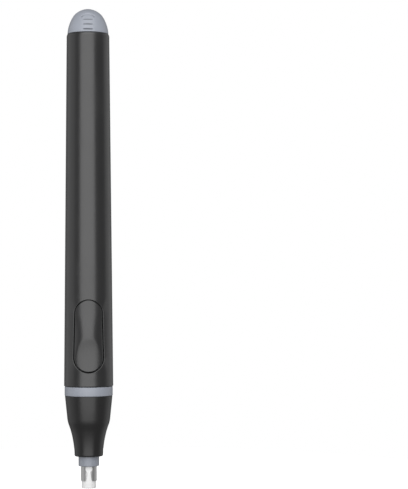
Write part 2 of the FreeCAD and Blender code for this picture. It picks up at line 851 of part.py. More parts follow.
def motor_lead(label, x):
    """An insulated lead from a terminal up to the back of the switch board."""
    body = new_body(label)
    back, bottom = "(0.2 + lead_radius)", "(terminal_top - 1.2)"
    rise = f"({bottom} + lead_rise)"
    section = new_sketch(body, "section", "XY_Plane", bottom)
    disc(section, "lead_radius", x, back)
    route = new_sketch(body, "route", "YZ_Plane", x)
    ends = [Vector(number(back), number(bottom), 0), Vector(number(back), number(rise), 0)]
    bend = number("lead_bend")
    corner = Vector(number(back) - bend, number(rise), 0)
    straight = route.addGeometry(Part.LineSegment(ends[0], ends[1]))
    circle = Part.Circle(corner, Vector(0, 0, 1), bend)
    quarter = route.addGeometry(Part.ArcOfCircle(circle, 0, math.pi / 2))
    for end, height in ((1, bottom), (2, rise)):
        hold(route, "DistanceX", straight, end, back, number(back))
        hold(route, "DistanceY", straight, end, height, number(height))
    route.addConstraint(Sketcher.Constraint("Coincident", straight, 2, quarter, 1))
    hold(route, "DistanceX", quarter, 3, f"{back} - lead_bend", corner.x)
    hold(route, "DistanceY", quarter, 3, rise, corner.y)
    hold(route, "DistanceX", quarter, 2, f"{back} - lead_bend", corner.x)
    doc.recompute()
    pipe = body.newObject("PartDesign::AdditivePipe", f"{label}_insulation")
    pipe.Profile = section
    pipe.Spine = (route, ["Edge1", "Edge2"])
    return body


# ---------------------------------------------------------------- cells and contacts

def cell(name, nub):
    """A standard AAA cell: a steel can with its nub towards the tip, and a printed sleeve."""
    can_radius = "cell_radius - sleeve_thickness - 0.01"
    bottom, top = f"{nub} + nub_height", f"{nub} + nub_height + can_height"
    can = turned(f"cell_{name}", [
        ("0", nub),
        ("nub_radius - nub_round", nub),
        ("nub_radius", f"{nub} + nub_round", "nub_round"),
        ("nub_radius", bottom),
        (f"{can_radius} - can_round", bottom),
        (can_radius, f"{bottom} + can_round", "can_round"),
        (can_radius, f"{top} - can_round"),
        (f"{can_radius} - can_round", top, "can_round"),
        ("0", top),
    ])
    sleeve = tube(f"cell_{name}_sleeve", "cell_radius - sleeve_thickness", "cell_radius",
                  f"{bottom} + can_round + 0.1", f"{top} - can_round - 0.1")
    return [can, sleeve]


def front_contact():
    """A sprung plate on the bulkhead, with a tab down to the board."""
    plate = rod("front_contact_plate", "contact_radius", "0", "0", "bulkhead_top + 0.02", "contact_sheet")
    dome = rod("front_contact_dimple", "dimple_radius", "0", "0", "bulkhead_top + 0.02",
               "front_nub - bulkhead_top - 0.05")
    tab = box("front_contact_tab", "-tab_width / 2", "deck_back + 0.1", "bulkhead_bottom - tab_drop",
              "tab_width", "contact_sheet", "bulkhead_top - bulkhead_bottom + tab_drop + 0.1")
    return joined("front_contact", plate, dome, tab)


def return_strip():
    """The strip along the trough's back that carries current from the tail, with a lip at its top."""
    run = box("strip_run", "-strip_width / 2", "strip_inside", "strip_bottom", "strip_width", "strip_sheet",
              "cup_bottom - 0.05 - strip_bottom")
    lip = box("strip_lip", "-strip_width / 2", "trough_bore", "cup_bottom - 0.05 - strip_sheet",
              "strip_width", "strip_inside - trough_bore + strip_sheet", "strip_sheet")
    return joined("return_strip", run, lip)


# ---------------------------------------------------------------- tail cap

def tail_cap():
    """The domed cap: a spigot in the barrel, finger marks and an arch moulded in its front."""
    body = turned("tail_cap", [
        ("cap_bore", "cap_spigot_bottom"),
        ("cap_spigot_radius", "cap_spigot_bottom"),
        ("cap_spigot_radius", "cap_seat"),
        ("barrel_mouth", "cap_seat"),
        ("dome_shoulder_radius", "dome_shoulder", "dome_side_radius"),
        ("0", "dome_top", "dome_crown_radius"),
        ("0", "dome_hollow_top"),
        ("dome_hollow_radius", "dome_hollow_top"),
        ("cap_bore", "dome_hollow_side"),
    ])
    for mark in range(3):
        height = f"mark_low + {mark} * mark_pitch"
        slot = new_sketch(body, f"mark_section_{mark + 1}", "YZ_Plane")
        rise = f"({height} - cap_seat)"
        surface = f"(barrel_mouth - dome_lean * {rise} - {rise} ^ 2 / (2 * dome_side_radius))"
        outline(slot, [
            (f"-({surface} + 1)", f"{height} - mark_width / 2"),
            (f"-({surface} + 1)", f"{height} + mark_width / 2"),
            (f"-({surface} - mark_depth)", f"{height} + mark_width / 2"),
            (f"-({surface} - mark_depth)", f"{height} - mark_width / 2"),
        ])
        doc.recompute()
        before = body.Shape.Volume
        groove = body.newObject("PartDesign::Groove", f"tail_cap_mark_{mark + 1}")
        groove.Profile = slot
        groove.ReferenceAxis = (slot, ["V_Axis"])
        groove.Midplane = True
        bind(groove, Angle="mark_angle")
        doc.recompute()
        if body.Shape.Volume > before - 1e-3:
            raise RuntimeError(f"{groove.Name} removes nothing")
    arch = new_sketch(body, "arch_section", "XZ_Plane", "arch_floor")
    inner = "(arch_outside - mark_width)"
    top = "arch_foot + arch_rise"
    outline(arch, [
        ("-arch_outside", "arch_foot"),
        ("0", top, "-arch_radius"),
        ("arch_outside", "arch_foot", "-arch_radius"),
        (inner, "arch_foot"),
        ("0", f"{top} - mark_width", "arch_radius"),
        (f"-{inner}", "arch_foot", "arch_radius"),
    ])
    pocket(body, "arch", arch, "5", backwards=True)
    return body


def cap_contact():
    """A pressed steel cup that lines the spigot."""
    outside = "cap_bore - cup_gap"
    return turned("cap_contact", [
        (f"{outside} - cup_sheet", "cup_bottom"),
        (outside, "cup_bottom"),
        (outside, "cup_top"),
        ("0", "cup_top"),
        ("0", "cup_top - cup_sheet"),
        (f"{outside} - cup_sheet", "cup_top - cup_sheet"),
    ])


def cap_spring():
    """A conical coil between the cup and the rear cell."""
    body = new_body("cap_spring")
    wire = new_sketch(body, "wire", "XZ_Plane")
    disc(wire, "spring_wire", "spring_low_radius", "spring_bottom")
    doc.recompute()
    coil = body.newObject("PartDesign::AdditiveHelix", "cap_spring_coil")
    coil.Profile = wire
    coil.ReferenceAxis = (wire, ["V_Axis"])
    coil.Mode = "height-turns-angle"
    bind(coil, Height="spring_height", Turns="spring_turns", Angle="spring_lean")
    return body


# ---------------------------------------------------------------- the whole eraser

SUB_PARTS = [
    eraser_refill(),
    refill_holder(),
    chuck(),
    shaft_insert(),
    nose_bush(),
    nose_cone(),
    trim_ring(),
    barrel(),
    button(),
    pivot_pin(),
    switch_board(),
    board_screws(),
    switch_body(),
    switch_plunger(),
    chassis(),
    motor_can(),
    motor_front_bearing(),
    motor_magnets(),
    motor_shaft(),
    rotor_core(),
    rotor_windings(),
    commutator(),
    motor_end_cap(),
    motor_rear_bearing(),
    motor_brushes(),
    motor_terminals(),
    motor_lead("motor_lead_red", "-terminal_offset"),
    motor_lead("motor_lead_black", "terminal_offset"),
    *cell("front", "front_nub"),
    *cell("rear", "rear_nub"),
    front_contact(),
    return_strip(),
    tail_cap(),
    cap_contact(),
    cap_spring(),
]

doc.recompute()
for thing in doc.Objects:
    if {"Invalid", "Error"} & set(thing.State):
        raise RuntimeError(f"{thing.Label} failed: {thing.State}")
for sub_part in SUB_PARTS:
    if sub_part.Shape.isNull() or not sub_part.Shape.isValid():
        raise RuntimeError(f"{sub_part.Label} has no sound shape")

os.makedirs("parts", exist_ok=True)
for sub_part in SUB_PARTS:
    sub_part.Shape.exportStep(f"parts/{sub_part.Label}.step")
    print(f"{sub_part.Label:22s} {len(sub_part.Shape.Solids)} solid(s) {sub_part.Shape.Volume:9.2f} mm3")
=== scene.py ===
# %% [markdown]
# An electric eraser: a slim battery tool that spins a white refill to rub out pencil lines.
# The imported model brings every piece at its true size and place, so this lesson starts by
# loading it. What follows gives the pieces that show finer shapes and real finishes.

# %% Load the model
import json
import math

import bmesh
import bpy
from mathutils import Matrix, Vector


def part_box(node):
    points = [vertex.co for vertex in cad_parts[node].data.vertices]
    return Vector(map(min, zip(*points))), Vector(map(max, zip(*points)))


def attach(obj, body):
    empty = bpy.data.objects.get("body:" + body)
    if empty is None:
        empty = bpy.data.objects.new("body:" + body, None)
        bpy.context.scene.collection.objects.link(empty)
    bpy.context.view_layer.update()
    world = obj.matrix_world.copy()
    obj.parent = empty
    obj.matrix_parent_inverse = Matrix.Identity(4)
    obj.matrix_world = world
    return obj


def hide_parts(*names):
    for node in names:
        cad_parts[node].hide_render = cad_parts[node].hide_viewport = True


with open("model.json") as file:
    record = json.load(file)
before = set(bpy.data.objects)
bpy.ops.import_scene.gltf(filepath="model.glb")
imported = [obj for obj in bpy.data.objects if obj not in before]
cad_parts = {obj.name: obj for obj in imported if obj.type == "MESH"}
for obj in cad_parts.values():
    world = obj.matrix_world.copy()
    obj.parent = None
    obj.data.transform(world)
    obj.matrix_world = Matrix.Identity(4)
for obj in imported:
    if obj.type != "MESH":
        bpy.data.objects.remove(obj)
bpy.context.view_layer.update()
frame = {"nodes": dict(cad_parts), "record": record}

# %% [markdown]
# Sizes are easiest to think about in millimetres, but Blender's file is in metres. So each
# number below is in millimetres and is turned into metres at the last moment. The bottom, the
# top and the radius of a round piece come from its box in the loaded model.

# %% Millimetres
MM = 0.001


def reach(node):
    """A round node's bottom, top and outer radius in millimetres."""
    low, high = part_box(node)
    return low[2] / MM, high[2] / MM, (high[0] - low[0]) / 2 / MM


barrel_bottom, barrel_top, barrel_radius = reach("barrel")
cap_bottom, cap_top, cap_radius = reach("tail_cap")
print("barrel", barrel_bottom, barrel_top, "cap", cap_bottom, cap_top)

# %% [markdown]
# The camera stands about 600 mm in front of the tool and two fifths of the way up it. It looks
# a little past the tool, which then stands at the left of a white picture. A long lens keeps
# the barrel's sides nearly parallel. The camera is turned rather than shifted, because a turned
# camera behaves the same when it is aimed at the tool from another side.

# %% Camera
EYE_LEVEL = 0.412
EYE_HEIGHT = EYE_LEVEL * cap_top * MM
CAMERA_DISTANCE = 0.5956
NEAREST_SEEN = 0.01
PAN = math.radians(3.896)
PITCH = math.radians(1.515)
ROLL = math.radians(-0.22)
LENS = 125.0
SENSOR = 36.0

camera_data = bpy.data.cameras.new("studio_camera")
camera_data.lens = LENS
camera_data.sensor_width = SENSOR
camera_data.sensor_fit = "AUTO"
camera_data.clip_start = NEAREST_SEEN
camera = bpy.data.objects.new("studio_camera", camera_data)
bpy.context.scene.collection.objects.link(camera)
camera.location = (0.0, -CAMERA_DISTANCE, EYE_HEIGHT)
aim = Matrix.Rotation(-PAN, 3, "Z") @ Matrix.Rotation(math.radians(90) + PITCH, 3, "X")
camera.rotation_euler = (aim @ Matrix.Rotation(ROLL, 3, "Z")).to_euler()
bpy.context.scene.camera = camera
bpy.context.scene.view_settings.view_transform = "Standard"
bpy.context.scene.view_settings.look = "None"
print("camera at", [round(part, 4) for part in camera.location], "lens", LENS)

# %% [markdown]
# A wide softbox stands behind the camera. A satin cylinder mirrors it as one pale stripe down
# its middle, and mirrors the dim room beside it as dark stripes. A panel high in front lights
# the cap's dome, and two panels behind the tool brighten its edges. Each is given a brightness
# for its face, so that its size can change without changing how bright its mirror image is.

# %% Lights
def panel(name, place, aim, width, height, radiance):
    """A rectangular light of a given brightness, whatever its size."""
    data = bpy.data.lights.new(name, "AREA")
    data.shape = "RECTANGLE"
    data.size = width
    data.size_y = height
    data.energy = radiance * math.pi * width * height
    light = bpy.data.objects.new(name, data)
    bpy.context.scene.collection.objects.link(light)
    light.location = place
    light.rotation_euler = (Vector(aim) - Vector(place)).to_track_quat("-Z", "Y").to_euler()
    light.visible_camera = False
    print(name, width, "by", height, "m, brightness", radiance)


middle = (0.0, 0.0, 0.5 * cap_top * MM)
panel("front_softbox", (-0.10, -0.80, 0.13), (-0.10, 0.0, 0.13), 1.23, 1.02, 2.04)
panel("overhead_panel", (0.0, -0.52, 0.66), middle, 0.9, 0.45, 2.3)
panel("left_edge_panel", (-0.64, 0.14, 0.12), middle, 0.75, 0.9, 0.47)
panel("right_edge_panel", (0.60, 0.30, 0.12), middle, 0.60, 0.9, 0.46)

# %% [markdown]
# A white room would light the tool from all sides and wash its dark stripes out. So the room is
# made twice. A ray from the camera finds it pure white, and every other ray finds it a dim
# grey. The Light Path node tells one kind of ray from the other.

# %% Room
ROOM_LIGHT = 0.25
WHITE = (1.0, 1.0, 1.0, 1.0)

world = bpy.data.worlds.new("white_room")
bpy.context.scene.world = world
world.use_nodes = True
sky, sky_links = world.node_tree.nodes, world.node_tree.links
sky.clear()
seen = sky.new("ShaderNodeLightPath")
backdrop = sky.new("ShaderNodeBackground")
backdrop.inputs["Color"].default_value = WHITE
room = sky.new("ShaderNodeBackground")
room.inputs["Color"].default_value = WHITE
room.inputs["Strength"].default_value = ROOM_LIGHT
choose = sky.new("ShaderNodeMixShader")
out = sky.new("ShaderNodeOutputWorld")
sky_links.new(seen.outputs["Is Camera Ray"], choose.inputs["Fac"])
sky_links.new(room.outputs["Background"], choose.inputs[1])
sky_links.new(backdrop.outputs["Background"], choose.inputs[2])
sky_links.new(choose.outputs["Shader"], out.inputs["Surface"])
print("room", world.name, "lights the tool at", ROOM_LIGHT)

# %% [markdown]
# A finish is more than a colour. Moulded plastic has the fine grain of its mould, rubbed metal
# has lines, and every handled surface has soft patches where it is a little duller. Each of
# these effects is a node group, made once, that any material can use with its own scale.

# %% An empty effect
def effect(name, inputs, outputs):
    """An empty shader node group with its sockets, and the two ends to wire up."""
    group = bpy.data.node_groups.new(name, "ShaderNodeTree")
    for label, value in inputs.items():
        socket = group.interface.new_socket(label, in_out="INPUT", socket_type="NodeSocketFloat")
        socket.default_value = value
    for label in outputs:
        group.interface.new_socket(label, in_out="OUTPUT", socket_type="NodeSocketFloat")
    nodes = group.nodes
    return group, nodes, group.links, nodes.new("NodeGroupInput"), nodes.new("NodeGroupOutput")


print("effects are started by", effect.__name__)


# %% [markdown]
# A mould for plastic is often cut by sparks, which leave it covered in tiny pits. The plastic
# copies them as a fine grain. Rounded cells give the pits and a cloud makes them uneven.

# %% Moulded grain
def moulded_grain():
    """Fine spark-eroded grain, with its height and the slight shade that follows it."""
    group, nodes, links, start, end = effect("moulded_grain", {"Fineness": 5000.0}, ["Height", "Shade"])
    place = nodes.new("ShaderNodeTexCoord")
    cells = nodes.new("ShaderNodeTexVoronoi")
    cells.feature = "SMOOTH_F1"
    cells.inputs["Smoothness"].default_value = 0.6
    cloud = nodes.new("ShaderNodeTexNoise")
    cloud.inputs["Detail"].default_value = 3.0
    cloud.inputs["Roughness"].default_value = 0.6
    together = nodes.new("ShaderNodeMath")
    together.operation = "MULTIPLY"
    links.new(place.outputs["Object"], cells.inputs["Vector"])
    links.new(place.outputs["Object"], cloud.inputs["Vector"])
    links.new(start.outputs["Fineness"], cells.inputs["Scale"])
    links.new(start.outputs["Fineness"], cloud.inputs["Scale"])
    links.new(cells.outputs["Distance"], together.inputs[0])
    links.new(cloud.outputs["Fac"], together.inputs[1])
    links.new(together.outputs["Value"], end.inputs["Height"])
    links.new(cloud.outputs["Fac"], end.inputs["Shade"])
    return group


GRAIN = moulded_grain()
print("effect", GRAIN.name)

# %% [markdown]
# Hands and cloths rub some patches duller than others. The patches are large and soft, so a
# cloud is pulled through a smooth ramp that leaves most of it either clean or rubbed.

# %% Handling
def handling():
    """Soft patches from hands and cloths, from 0 where clean to 1 where rubbed."""
    group, nodes, links, start, end = effect("handling", {"Patch": 90.0}, ["Mask"])
    place = nodes.new("ShaderNodeTexCoord")
    cloud = nodes.new("ShaderNodeTexNoise")
    cloud.inputs["Detail"].default_value = 5.0
    cloud.inputs["Roughness"].default_value = 0.55
    cloud.inputs["Distortion"].default_value = 0.6
    ramp = nodes.new("ShaderNodeMapRange")
    ramp.interpolation_type = "SMOOTHSTEP"
    ramp.inputs["From Min"].default_value = 0.38
    ramp.inputs["From Max"].default_value = 0.68
    links.new(place.outputs["Object"], cloud.inputs["Vector"])
    links.new(start.outputs["Patch"], cloud.inputs["Scale"])
    links.new(cloud.outputs["Fac"], ramp.inputs["Value"])
    links.new(ramp.outputs["Result"], end.inputs["Mask"])
    return group


HANDLING = handling()
print("effect", HANDLING.name)

# %% [markdown]
# Metal that was drawn through a die has lines along its length, and metal that was turned has
# lines round it. Both are one cloud, squeezed far more in one direction than in the other.

# %% Drawn lines
def drawn_lines():
    """Fine lines along the tool's axis, or round it where Along is larger than Across."""
    group, nodes, links, start, end = effect(
        "drawn_lines", {"Along": 300.0, "Across": 9000.0}, ["Height", "Shade"])
    place = nodes.new("ShaderNodeTexCoord")
    stretch = nodes.new("ShaderNodeCombineXYZ")
    scaled = nodes.new("ShaderNodeVectorMath")
    scaled.operation = "MULTIPLY"
    lines = nodes.new("ShaderNodeTexNoise")
    lines.inputs["Scale"].default_value = 1.0
    lines.inputs["Detail"].default_value = 2.0
    links.new(start.outputs["Across"], stretch.inputs["X"])
    links.new(start.outputs["Across"], stretch.inputs["Y"])
    links.new(start.outputs["Along"], stretch.inputs["Z"])
    links.new(place.outputs["Object"], scaled.inputs[0])
    links.new(stretch.outputs["Vector"], scaled.inputs[1])
    links.new(scaled.outputs["Vector"], lines.inputs["Vector"])
    links.new(lines.outputs["Fac"], end.inputs["Height"])
    links.new(lines.outputs["Fac"], end.inputs["Shade"])
    return group


LINES = drawn_lines()
print("effect", LINES.name)

# %% [markdown]
# Every finish here is one recipe: a Principled shader, two close tints that an effect mixes, a
# roughness that the handling patches raise and lower, and a bump from the effect's height.
# Plastic, vinyl and metal differ only in the numbers and in which effect they use. A piece may
# also carry painted shade, a number at each vertex that darkens its colour in a hollow where light
# hardly gets in. Only the marks on the tail cap have any, and a piece without it is left as it is.

# %% The recipe for a finish
# Painted shade: how dark a hollow's colour is made, as a share of the piece's own colour.
PAINTED_SHADE_TINT = 0.35
METAL_LINES = 0.0015


def finish(name, colour, roughness, effect_group, settings,
           tint=0.08, rough_spread=0.06, bump=0.004, **sockets):
    """A material; bump is the height of its texture in millimetres."""
    material = bpy.data.materials.new(name)
    material.use_nodes = True
    nodes, links = material.node_tree.nodes, material.node_tree.links
    shader = nodes["Principled BSDF"]
    for label, value in sockets.items():
        shader.inputs[label.replace("_", " ")].default_value = value
    pattern = nodes.new("ShaderNodeGroup")
    pattern.node_tree = effect_group
    for label, value in settings.items():
        pattern.inputs[label].default_value = value
    tints = nodes.new("ShaderNodeMix")
    tints.data_type = "RGBA"
    tints.inputs["A"].default_value = (*(part * (1 - tint) for part in colour), 1.0)
    tints.inputs["B"].default_value = (*(min(1.0, part * (1 + tint)) for part in colour), 1.0)
    patches = nodes.new("ShaderNodeGroup")
    patches.node_tree = HANDLING
    dull = nodes.new("ShaderNodeMapRange")
    dull.inputs["To Min"].default_value = roughness - rough_spread / 2
    dull.inputs["To Max"].default_value = roughness + rough_spread / 2
    relief = nodes.new("ShaderNodeBump")
    relief.inputs["Strength"].default_value = 1.0
    relief.inputs["Distance"].default_value = bump * MM
    # Painted shade: a number at each vertex mixes the base colour towards a darker copy, standing in for
    # the shadow in a hollow.
    hollows = nodes.new("ShaderNodeAttribute")
    hollows.attribute_name = "painted_shade"
    darker = nodes.new("ShaderNodeMix")
    darker.data_type = "RGBA"
    darker.inputs["B"].default_value = (*(part * PAINTED_SHADE_TINT for part in colour), 1.0)
    links.new(pattern.outputs["Shade"], tints.inputs["Factor"])
    links.new(hollows.outputs["Fac"], darker.inputs["Factor"])
    links.new(tints.outputs["Result"], darker.inputs["A"])
    links.new(darker.outputs["Result"], shader.inputs["Base Color"])
    links.new(patches.outputs["Mask"], dull.inputs["Value"])
    links.new(dull.outputs["Result"], shader.inputs["Roughness"])
    links.new(pattern.outputs["Height"], relief.inputs["Height"])
    links.new(relief.outputs["Normal"], shader.inputs["Normal"])
    return material


def plastic(name, colour, roughness=0.4, fineness=5000.0, **more):
    """A moulded or cast finish with the fine grain."""
    return finish(name, colour, roughness, GRAIN, {"Fineness": fineness}, **more)


def metal(name, colour, roughness=0.3, along=300.0, across=9000.0, **more):
    """A metal finish with drawn lines."""
    settings = {"Along": along, "Across": across}
    return finish(name, colour, roughness, LINES, settings, bump=METAL_LINES, Metallic=1.0, **more)


print("recipes", plastic.__name__, metal.__name__)

# %% [markdown]
# Each material of the tool is one entry: its colour, how rough it is and how fine its texture.
# The shell is black satin plastic with pale grey trim. Brass, the cells' cans, the rotor's core
# and its windings have lines that run round the axis, and the other metals have lines along it.

# %% The finishes
ROUND_AND_ROUND = {"along": 9000.0, "across": 60.0}
FINISHES = {
    "black_satin_plastic": plastic("black_satin_plastic", (0.0145, 0.0145, 0.015), 0.31,
                                   Specular_IOR_Level=0.68),
    "nose_plastic": plastic("nose_plastic", (0.0145, 0.0142, 0.0145), 0.36,
                            Specular_IOR_Level=0.42),
    "pale_grey_plastic": plastic("pale_grey_plastic", (0.282, 0.301, 0.345), 0.42, tint=0.03),
    "eraser_vinyl": plastic("eraser_vinyl", (0.86, 0.86, 0.86), 0.62, 2500.0, tint=0.02, bump=0.01),
    "spring_steel": metal("spring_steel", (0.53, 0.53, 0.53), 0.42),
    "brass": metal("brass", (0.72, 0.52, 0.22), 0.25, **ROUND_AND_ROUND),
    "acetal_bush": plastic("acetal_bush", (0.72, 0.70, 0.64), 0.38),
    "chassis_plastic": plastic("chassis_plastic", (0.045, 0.046, 0.05), 0.5, 3000.0),
    "motor_steel": metal("motor_steel", (0.60, 0.60, 0.60), 0.32),
    "magnet_ferrite": plastic("magnet_ferrite", (0.03, 0.03, 0.033), 0.7, 2500.0, bump=0.02),
    "sintered_bronze": plastic("sintered_bronze", (0.36, 0.20, 0.09), 0.45, 4000.0, bump=0.01,
                               Metallic=0.9),
    "core_steel": metal("core_steel", (0.28, 0.28, 0.29), 0.4, along=6000.0, across=40.0),
    "enamelled_copper": metal("enamelled_copper", (0.60, 0.20, 0.07), 0.22,
                              along=4000.0, across=200.0),
    "nylon_white": plastic("nylon_white", (0.75, 0.74, 0.70), 0.45),
    "tinned_metal": metal("tinned_metal", (0.66, 0.65, 0.62), 0.3),
    "board_laminate": plastic("board_laminate", (0.01, 0.09, 0.035), 0.3, 1500.0, tint=0.2),
    "switch_plastic": plastic("switch_plastic", (0.02, 0.02, 0.02), 0.45),
    "plunger_plastic": plastic("plunger_plastic", (0.35, 0.03, 0.02), 0.35),
    "red_insulation": plastic("red_insulation", (0.45, 0.012, 0.012), 0.4),
    "black_insulation": plastic("black_insulation", (0.015, 0.015, 0.015), 0.4),
    "cell_can": metal("cell_can", (0.62, 0.62, 0.63), 0.25, **ROUND_AND_ROUND),
    "cell_sleeve": plastic("cell_sleeve", (0.05, 0.07, 0.11), 0.25, 1200.0, tint=0.15),
}
print("finishes", len(FINISHES))

# %% [markdown]
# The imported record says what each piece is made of, so one loop can give every loaded piece its
# finish. The seven pieces that are made anew below name theirs when they are finished.

# %% Dress the pieces that keep their shape
for part in frame["record"]["subparts"]:
    node = frame["nodes"][part["node"]]
    node.data.materials.clear()
    node.data.materials.append(FINISHES[part["material_slot"]])

# %% [markdown]
# Most of what shows is turned: a flat outline spun round the barrel's axis. The outline is a
# few corners. A corner that should be round says how far from it the rounding starts, and a
# vertex bevel puts a true arc there before the spin. This is how a lathe drawing is made, and
# it keeps every edge soft enough to catch the light.

# %% From a bmesh to a piece
def finished(name, mesh, body, replaced, slot, sharp=35.0):
    """Turns a bmesh into a piece: smooth faces, sharp creases, a finish, a body to ride on."""
    bmesh.ops.recalc_face_normals(mesh, faces=mesh.faces)
    for face in mesh.faces:
        face.smooth = True
    for edge in mesh.edges:
        edge.smooth = len(edge.link_faces) == 2 and edge.calc_face_angle(0.0) < math.radians(sharp)
    data = bpy.data.meshes.new(name)
    mesh.to_mesh(data)
    mesh.free()
    piece = bpy.data.objects.new(name, data)
    bpy.context.scene.collection.objects.link(piece)
    data.materials.append(FINISHES[slot])
    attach(piece, body)
    if replaced:
        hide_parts(replaced)
    print(name, len(data.polygons), "faces")


# %% Turning
SAME_PLACE = 0.002
QUARTER_TURN = 1.6
FEWEST_FACETS = 4
ARC_FACET = 0.35


def lathe(corners, closed=True, steps=192, grain=ARC_FACET):
    """Spins an outline of (radius, height, rounding) corners; grain is how long an arc's facets are."""
    mesh = bmesh.new()
    verts = [mesh.verts.new((corner[0] * MM, 0.0, corner[1] * MM)) for corner in corners]
    pairs = list(zip(verts, verts[1:]))
    if closed:
        pairs.append((verts[-1], verts[0]))
    for pair in pairs:
        mesh.edges.new(pair)
    for vert, corner in zip(verts, corners):
        if len(corner) == 3:
            facets = max(FEWEST_FACETS, round(QUARTER_TURN * corner[2] / grain))
            bmesh.ops.bevel(mesh, geom=[vert], affect="VERTICES", offset=corner[2] * MM,
                            offset_type="OFFSET", segments=facets, profile=0.5, material=-1,
                            clamp_overlap=False)
    bmesh.ops.spin(mesh, geom=mesh.verts[:] + mesh.edges[:], axis=(0, 0, 1), cent=(0, 0, 0),
                   angle=math.tau, steps=steps, use_merge=True)
    bmesh.ops.remove_doubles(mesh, verts=mesh.verts, dist=SAME_PLACE * MM)
    return mesh


def join(mesh, other):
    """Adds a second bmesh to the first and uses it up."""
    carrier = bpy.data.meshes.new("carrier")
    other.to_mesh(carrier)
    other.free()
    mesh.from_mesh(carrier)
    bpy.data.meshes.remove(carrier)


print("an arc's facets are", ARC_FACET, "mm long, and points within", SAME_PLACE, "mm are merged")

# %% [markdown]
# The nose cone is a hollow moulding that flares from the mouth, where the collar spins, to the
# barrel's full width. Inside it has a seat for the bush and a spigot that plugs the barrel. Its
# wall is one closed outline: up the outside, and down the inside again.

# %% Nose cone
nose_bottom, nose_spigot_top, nose_radius = reach("nose_cone")
ring_bottom, ring_top, ring_radius = reach("trim_ring")
NOSE_MOUTH, NOSE_TIP, NOSE_LIP = 3.85, 5.0, 1.5
WAIST_RADIUS, WAIST_RISE, WAIST_ROUND = 5.06, 5.8, 4.8
SHOULDER_RADIUS, SHOULDER_RISE, SHOULDER_ROUND = 7.36, 12.05, 1.0
SPIGOT_RADIUS, SPIGOT_BORE = 7.05, 6.2
BUSH_SEAT, SEAT_TOP = 4.35, 6.4
FUNNEL_RADIUS, FUNNEL_MIDDLE, FUNNEL_TOP = 5.85, 11.4, 13.9
JOIN_GAP = 0.05

nose = lathe([
    (NOSE_MOUTH, nose_bottom, 0.15),
    (NOSE_TIP, nose_bottom, 0.5),
    (WAIST_RADIUS, nose_bottom + WAIST_RISE, WAIST_ROUND),
    (SHOULDER_RADIUS, nose_bottom + SHOULDER_RISE, SHOULDER_ROUND),
    (nose_radius, ring_bottom - JOIN_GAP, 0.12),
    (SPIGOT_RADIUS, ring_bottom - JOIN_GAP),
    (SPIGOT_RADIUS, nose_spigot_top, 0.15),
    (SPIGOT_BORE, nose_spigot_top, 0.15),
    (SPIGOT_BORE, nose_bottom + FUNNEL_TOP),
    (FUNNEL_RADIUS, nose_bottom + FUNNEL_MIDDLE),
    (BUSH_SEAT, nose_bottom + SEAT_TOP),
    (BUSH_SEAT, nose_bottom + NOSE_LIP),
    (NOSE_MOUTH, nose_bottom + NOSE_LIP, 0.1),
])
finished("nose_shell", nose, "root", "nose_cone", "nose_plastic")

# %% [markdown]
# A pale ring fills the joint between the nose and the barrel. It slips over the nose's spigot
# with a hair of room, and both its outer edges are rounded.

# %% Trim ring
RING_ROOM, RING_ROUND = 0.03, 0.22

ring = lathe([
    (SPIGOT_RADIUS + RING_ROOM, ring_bottom),
    (ring_radius, ring_bottom, RING_ROUND),
    (ring_radius, ring_top, RING_ROUND),
    (SPIGOT_RADIUS + RING_ROOM, ring_top),
])
finished("trim_band", ring, "root", "trim_ring", "pale_grey_plastic")

# %% [markdown]
# The collar spins with the motor's shaft and grips the steel holder in its bore. It is open
# below and shut above, so its outside and its bore are two outlines that meet just inside the
# mouth. Each is spun on its own, and the two are merged there.

# %% Collar
chuck_bottom, chuck_top, chuck_radius = reach("chuck")
INSERT_RADIUS, INSERT_BOTTOM = 1.6, 26.2
CHUCK_BORE, CHUCK_FLOOR = 2.78, 24.6
MOUTH_SEAM = chuck_bottom + 0.3

collar = lathe([
    (CHUCK_BORE, MOUTH_SEAM),
    (CHUCK_BORE, chuck_bottom, 0.12),
    (chuck_radius, chuck_bottom, 0.28),
    (chuck_radius, chuck_top, 0.3),
    (INSERT_RADIUS, chuck_top),
    (INSERT_RADIUS, INSERT_BOTTOM),
    (0.0, INSERT_BOTTOM),
], closed=False)
join(collar, lathe([
    (0.0, CHUCK_FLOOR),
    (CHUCK_BORE, CHUCK_FLOOR, 0.2),
    (CHUCK_BORE, MOUTH_SEAM),
], closed=False))
bmesh.ops.remove_doubles(collar, verts=collar.verts, dist=SAME_PLACE * MM)
finished("spinning_collar", collar, "spindle", "chuck", "pale_grey_plastic")

# %% [markdown]
# The refill is a plain vinyl rod. Its end is used flat against the paper, so its edge is worn
# a little rounder than the end that hides in the holder.

# %% Refill
refill_bottom, refill_top, refill_radius = reach("eraser_refill")
WORN_EDGE, FRESH_EDGE = 0.32, 0.18

refill = lathe([
    (0.0, refill_bottom),
    (refill_radius, refill_bottom, WORN_EDGE),
    (refill_radius, refill_top, FRESH_EDGE),
    (0.0, refill_top),
], closed=False, steps=128, grain=0.1)
finished("vinyl_refill", refill, "eraser_refill", "eraser_refill", "eraser_vinyl")

# %% [markdown]
# The refill holder is bent from thin spring steel: two gutters that face each other, joined at
# the hidden end. Each is a grid whose vertices are moved onto a cylinder, with a width that
# follows the height: rounded jaws that widen upwards, slimmer legs beside a long open window,
# and narrower legs still at the neck. The gap between the legs is worked out first.

# %% The gap between the legs
holder_bottom, holder_top, holder_radius = reach("refill_holder")
JAW_TOP, JAW_END = holder_bottom + 3.0, holder_bottom + 3.9
NECK_BOTTOM, NECK_TOP = holder_top - 3.6, holder_top - 0.4
JAW_GAP, JAW_CLOSES, WINDOW_OPENS, NECK_OPENS = 1.0, 0.38, 0.62, 0.71
JAW_CORNER = 0.5


def blend_between(value, start, end):
    """0 below start, 1 above end and a smooth climb between."""
    part = min(1.0, max(0.0, (value - start) / (end - start)))
    return part * part * (3 - 2 * part)


